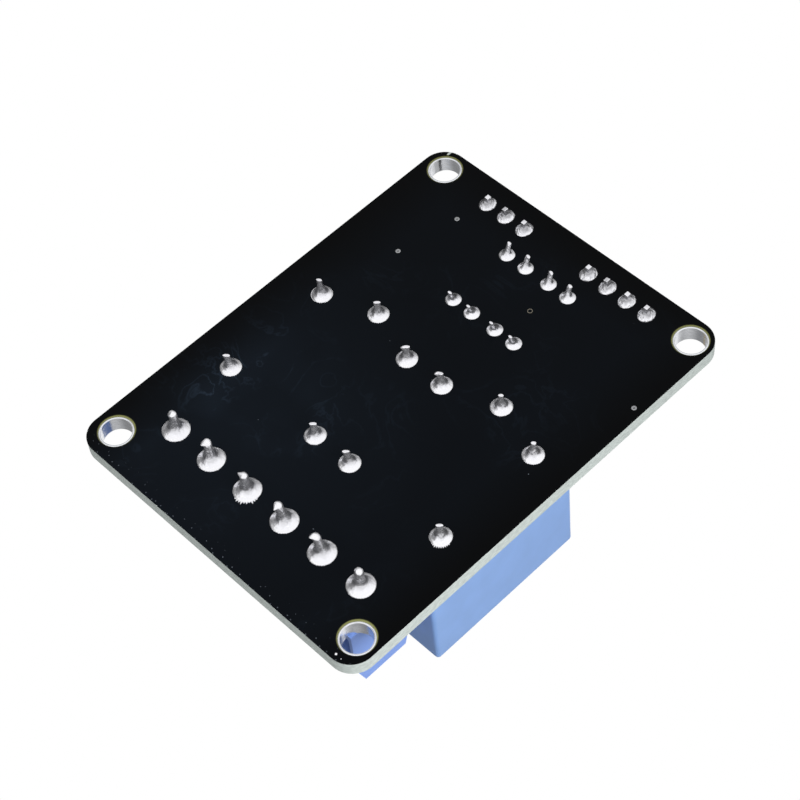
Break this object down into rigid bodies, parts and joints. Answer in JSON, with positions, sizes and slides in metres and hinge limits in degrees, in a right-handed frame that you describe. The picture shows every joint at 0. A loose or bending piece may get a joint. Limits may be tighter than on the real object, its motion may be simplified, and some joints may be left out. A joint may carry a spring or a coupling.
{
  "type": "relay module board",
  "caption": "Relay module: sealed relays, screw terminal blocks, optocouplers and pin headers on a black circuit board with plated corner mounting holes.",
  "frame": {"origin": "centre of the four mounting holes, on the solder-side face of the board", "axes": "+Z out of the component side, +Y from the screw terminals towards the pin headers, +X to the right when the wire entries face the viewer"},
  "size_m": [0.0381, 0.05, 0.0188],
  "materials": {
    "bobbin": "moulded nylon",
    "chip_resistor": "black glaze on ceramic, tinned ends",
    "clamp_cage": "nickel-plated",
    "clamp_screw": "zinc-plated",
    "contact_metal": "copper alloy with silver contacts",
    "copper_wire": "enamelled copper wire",
    "coupler_body": "moulded black epoxy",
    "diode": "moulded black epoxy, tinned leads",
    "header_moulding": "moulded black nylon",
    "header_pin": "gold-flashed brass",
    "hole_plating": "tinned copper plating",
    "indicator_led": "white substrate and clear lens",
    "jumper_cap": "moulded black nylon",
    "jumper_clip": "gold-flashed bronze",
    "laminate": "glass-epoxy board under a glossy black solder mask, pale bare edge",
    "relay_base": "moulded blue thermoplastic",
    "relay_cover": "moulded blue thermoplastic",
    "soft_iron": "plated soft iron",
    "solder": "bright tin solder",
    "terminal_housing": "moulded blue nylon",
    "tinned_lead": "tinned copper",
    "transistor": "moulded black epoxy, tinned leads",
    "wire_guard": "nickel-plated spring strip"
  },
  "bodies": {
    "board": {"chip_resistors": "chip_resistor", "circuit_board": "laminate", "coupler_solder": "solder", "diode_1": "diode", "diode_2": "diode", "header_3_moulding": "header_moulding", "header_3_pins": "header_pin", "header_4_moulding": "header_moulding", "header_4_pins": "header_pin", "header_solder": "solder", "indicator_led_1": "indicator_led", "indicator_led_2": "indicator_led", "jumper_cap": "jumper_cap", "jumper_clip": "jumper_clip", "mounting_hole_plating": "hole_plating", "optocoupler_1_body": "coupler_body", "optocoupler_1_leads": "tinned_lead", "optocoupler_2_body": "coupler_body", "optocoupler_2_leads": "tinned_lead", "relay_1_base": "relay_base", "relay_1_bobbin": "bobbin", "relay_1_coil_leads": "tinned_lead", "relay_1_core": "soft_iron", "relay_1_cover": "relay_cover", "relay_1_fixed_contacts": "contact_metal", "relay_1_winding": "copper_wire", "relay_1_yoke": "soft_iron", "relay_2_base": "relay_base", "relay_2_bobbin": "bobbin", "relay_2_coil_leads": "tinned_lead", "relay_2_core": "soft_iron", "relay_2_cover": "relay_cover", "relay_2_fixed_contacts": "contact_metal", "relay_2_winding": "copper_wire", "relay_2_yoke": "soft_iron", "relay_solder": "solder", "terminal_1_cages": "clamp_cage", "terminal_1_housing": "terminal_housing", "terminal_2_cages": "clamp_cage", "terminal_2_housing": "terminal_housing", "terminal_solder": "solder", "transistor_1": "transistor", "transistor_2": "transistor"},
    "relay_1_armature": {"relay_1_armature": "soft_iron", "relay_1_contact_spring": "contact_metal"},
    "relay_2_armature": {"relay_2_armature": "soft_iron", "relay_2_contact_spring": "contact_metal"},
    "terminal_1_guard_1": {"terminal_1_guard_1": "wire_guard"},
    "terminal_1_screw_1": {"terminal_1_screw_1": "clamp_screw"},
    "terminal_1_guard_2": {"terminal_1_guard_2": "wire_guard"},
    "terminal_1_screw_2": {"terminal_1_screw_2": "clamp_screw"},
    "terminal_1_guard_3": {"terminal_1_guard_3": "wire_guard"},
    "terminal_1_screw_3": {"terminal_1_screw_3": "clamp_screw"},
    "terminal_2_guard_1": {"terminal_2_guard_1": "wire_guard"},
    "terminal_2_screw_1": {"terminal_2_screw_1": "clamp_screw"},
    "terminal_2_guard_2": {"terminal_2_guard_2": "wire_guard"},
    "terminal_2_screw_2": {"terminal_2_screw_2": "clamp_screw"},
    "terminal_2_guard_3": {"terminal_2_guard_3": "wire_guard"},
    "terminal_2_screw_3": {"terminal_2_screw_3": "clamp_screw"}
  },
  "joints": [
    {"name": "relay_1_armature_swing", "type": "hinge", "parent": "board", "child": "relay_1_armature", "pos_m": [0.00818, 0.0048, 0.0116], "axis": [1, 0, 0], "range_deg": [0, 3], "stiffness_Nm_per_rad": 0.02, "springref_deg": -1.15},
    {"name": "relay_2_armature_swing", "type": "hinge", "parent": "board", "child": "relay_2_armature", "pos_m": [-0.00854, 0.0048, 0.0116], "axis": [1, 0, 0], "range_deg": [0, 3], "stiffness_Nm_per_rad": 0.02, "springref_deg": -1.15},
    {"name": "terminal_1_clamp_1_slide", "type": "slide", "parent": "board", "child": "terminal_1_guard_1", "axis": [0, 0, -1], "range_m": [0, 0.002]},
    {"name": "terminal_1_screw_1_turn", "type": "hinge", "parent": "terminal_1_guard_1", "child": "terminal_1_screw_1", "pos_m": [0.00236, -0.01824, 0.008], "axis": [0, 0, -1], "range_deg": [0, 1440]},
    {"name": "terminal_1_clamp_2_slide", "type": "slide", "parent": "board", "child": "terminal_1_guard_2", "axis": [0, 0, -1], "range_m": [0, 0.002]},
    {"name": "terminal_1_screw_2_turn", "type": "hinge", "parent": "terminal_1_guard_2", "child": "terminal_1_screw_2", "pos_m": [0.00744, -0.01824, 0.008], "axis": [0, 0, -1], "range_deg": [0, 1440]},
    {"name": "terminal_1_clamp_3_slide", "type": "slide", "parent": "board", "child": "terminal_1_guard_3", "axis": [0, 0, -1], "range_m": [0, 0.002]},
    {"name": "terminal_1_screw_3_turn", "type": "hinge", "parent": "terminal_1_guard_3", "child": "terminal_1_screw_3", "pos_m": [0.01252, -0.01824, 0.008], "axis": [0, 0, -1], "range_deg": [0, 1440]},
    {"name": "terminal_2_clamp_1_slide", "type": "slide", "parent": "board", "child": "terminal_2_guard_1", "axis": [0, 0, -1], "range_m": [0, 0.002]},
    {"name": "terminal_2_screw_1_turn", "type": "hinge", "parent": "terminal_2_guard_1", "child": "terminal_2_screw_1", "pos_m": [-0.01288, -0.01824, 0.008], "axis": [0, 0, -1], "range_deg": [0, 1440]},
    {"name": "terminal_2_clamp_2_slide", "type": "slide", "parent": "board", "child": "terminal_2_guard_2", "axis": [0, 0, -1], "range_m": [0, 0.002]},
    {"name": "terminal_2_screw_2_turn", "type": "hinge", "parent": "terminal_2_guard_2", "child": "terminal_2_screw_2", "pos_m": [-0.0078, -0.01824, 0.008], "axis": [0, 0, -1], "range_deg": [0, 1440]},
    {"name": "terminal_2_clamp_3_slide", "type": "slide", "parent": "board", "child": "terminal_2_guard_3", "axis": [0, 0, -1], "range_m": [0, 0.002]},
    {"name": "terminal_2_screw_3_turn", "type": "hinge", "parent": "terminal_2_guard_3", "child": "terminal_2_screw_3", "pos_m": [-0.00272, -0.01824, 0.008], "axis": [0, 0, -1], "range_deg": [0, 1440]}
  ],
  "couplings": [
    {"joint": "terminal_1_screw_1_turn", "follows": "terminal_1_clamp_1_slide", "rad_per_m": 12566},
    {"joint": "terminal_1_screw_2_turn", "follows": "terminal_1_clamp_2_slide", "rad_per_m": 12566},
    {"joint": "terminal_1_screw_3_turn", "follows": "terminal_1_clamp_3_slide", "rad_per_m": 12566},
    {"joint": "terminal_2_screw_1_turn", "follows": "terminal_2_clamp_1_slide", "rad_per_m": 12566},
    {"joint": "terminal_2_screw_2_turn", "follows": "terminal_2_clamp_2_slide", "rad_per_m": 12566},
    {"joint": "terminal_2_screw_3_turn", "follows": "terminal_2_clamp_3_slide", "rad_per_m": 12566}
  ]
}
